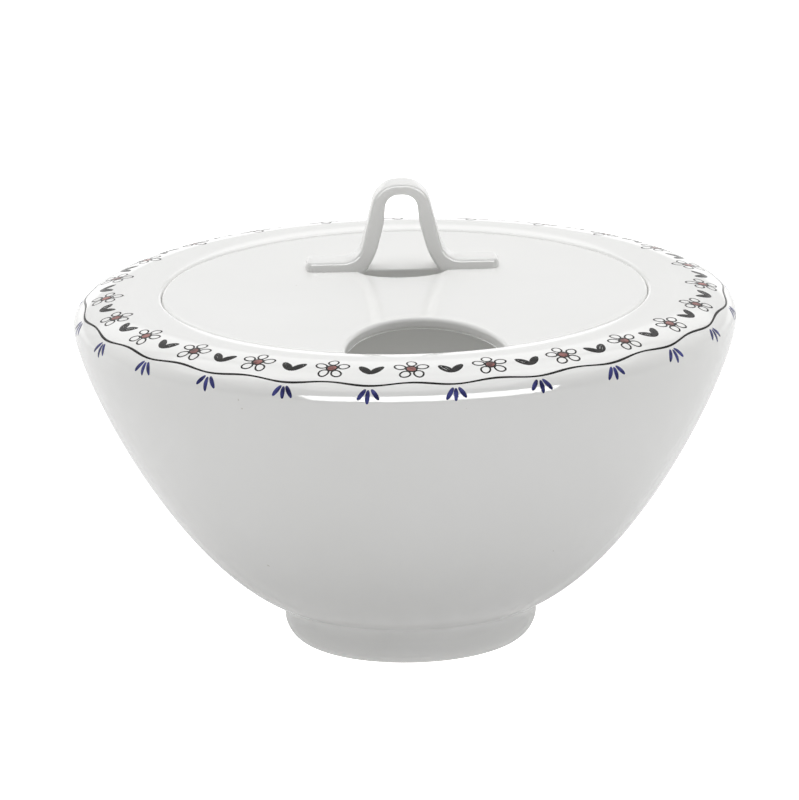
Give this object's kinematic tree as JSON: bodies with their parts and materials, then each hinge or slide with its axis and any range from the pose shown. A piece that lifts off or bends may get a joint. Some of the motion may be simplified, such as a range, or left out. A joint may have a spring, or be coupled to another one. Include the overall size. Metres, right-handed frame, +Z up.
{
  "type": "sugar bowl",
  "caption": "Deep round porcelain bowl on a foot ring, with a broad turned-in rim and an inset lid that has an arched strap handle and a spoon notch.",
  "frame": {"origin": "centre of the circle that the foot ring stands on", "axes": "+Z up, along the bowl's axis; -Y towards the spoon notch; X along the handle"},
  "size_m": [0.12, 0.12, 0.0801],
  "materials": {
    "bowl_glaze": "white porcelain under a clear gloss glaze",
    "lid_glaze": "white porcelain under a clear gloss glaze",
    "line_enamel": "black painted line, glossy",
    "blue_enamel": "ink blue brush strokes, glossy",
    "red_enamel": "red-brown painted flower centres, glossy"
  },
  "bodies": {
    "bowl": {"bowl_wall": "bowl_glaze", "foot_ring": "bowl_glaze", "rim_band": "bowl_glaze"},
    "lid": {"lid_plate": "lid_glaze", "lid_handle": "lid_glaze"}
  },
  "joints": [
    {"name": "lid_lift", "type": "slide", "parent": "bowl", "child": "lid", "axis": [0, 0, 1], "range_m": [0, 0.1]}
  ]
}
